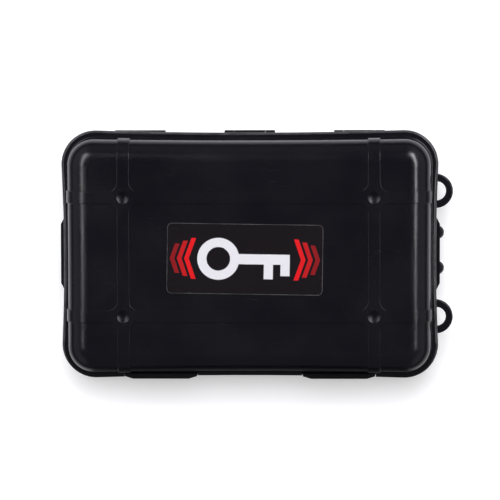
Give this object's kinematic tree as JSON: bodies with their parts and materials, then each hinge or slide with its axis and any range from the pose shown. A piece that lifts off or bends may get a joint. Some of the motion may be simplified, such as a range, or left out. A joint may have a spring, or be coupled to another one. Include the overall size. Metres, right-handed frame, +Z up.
{
  "type": "magnetic key holder box",
  "caption": "Low hinged plastic case for hiding keys, with a ribbed lid, gasket, snap latches and lanyard loops, held to steel by pot magnets under its floor.",
  "frame": {"origin": "middle of the whole box seen from above, on the plane of the magnet faces", "axes": "+X along the case towards the lanyard loops, +Y towards the hinge, +Z up through the lid"},
  "size_m": [0.165, 0.1042, 0.057],
  "materials": {
    "case_plastic": "satin-gloss black ABS, fine mould texture",
    "latch_plastic": "satin black ABS",
    "gasket_rubber": "soft matt rubber",
    "label_vinyl": null,
    "pin_steel": "drawn steel",
    "magnet_cup_steel": "zinc-plated steel",
    "magnet_nickel": "nickel plate on neodymium magnet",
    "fastener_zinc": "bright zinc plate",
    "washer_rubber": "soft matt rubber"
  },
  "bodies": {
    "base": {"base_shell": "case_plastic", "hinge_pin_left": "pin_steel", "hinge_pin_middle": "pin_steel", "hinge_pin_right": "pin_steel", "latch_pin_left": "pin_steel", "latch_pin_right": "pin_steel", "magnet_cup_front_left": "magnet_cup_steel", "magnet_cup_front_right": "magnet_cup_steel", "magnet_cup_back_left": "magnet_cup_steel", "magnet_cup_back_right": "magnet_cup_steel", "magnet_ring_front_left": "magnet_nickel", "magnet_ring_front_right": "magnet_nickel", "magnet_ring_back_left": "magnet_nickel", "magnet_ring_back_right": "magnet_nickel", "magnet_screw_front_left": "fastener_zinc", "magnet_screw_front_right": "fastener_zinc", "magnet_screw_back_left": "fastener_zinc", "magnet_screw_back_right": "fastener_zinc", "sealing_washer_front_left": "washer_rubber", "sealing_washer_front_right": "washer_rubber", "sealing_washer_back_left": "washer_rubber", "sealing_washer_back_right": "washer_rubber", "hex_nut_front_left": "fastener_zinc", "hex_nut_front_right": "fastener_zinc", "hex_nut_back_left": "fastener_zinc", "hex_nut_back_right": "fastener_zinc"},
    "lid": {"lid_shell": "case_plastic", "gasket": "gasket_rubber", "label": "label_vinyl"},
    "latch_left": {"latch_left": "latch_plastic"},
    "latch_right": {"latch_right": "latch_plastic"}
  },
  "joints": [
    {"name": "lid_hinge", "type": "hinge", "parent": "base", "child": "lid", "pos_m": [-0.0027, 0.05005, 0.03455], "axis": [-1, 0, 0], "range_deg": [0, 180]},
    {"name": "latch_left_hinge", "type": "hinge", "parent": "base", "child": "latch_left", "pos_m": [-0.0401, -0.04995, 0.0295], "axis": [1, 0, 0], "range_deg": [0, 130]},
    {"name": "latch_right_hinge", "type": "hinge", "parent": "base", "child": "latch_right", "pos_m": [0.0347, -0.04995, 0.0295], "axis": [1, 0, 0], "range_deg": [0, 130]}
  ]
}
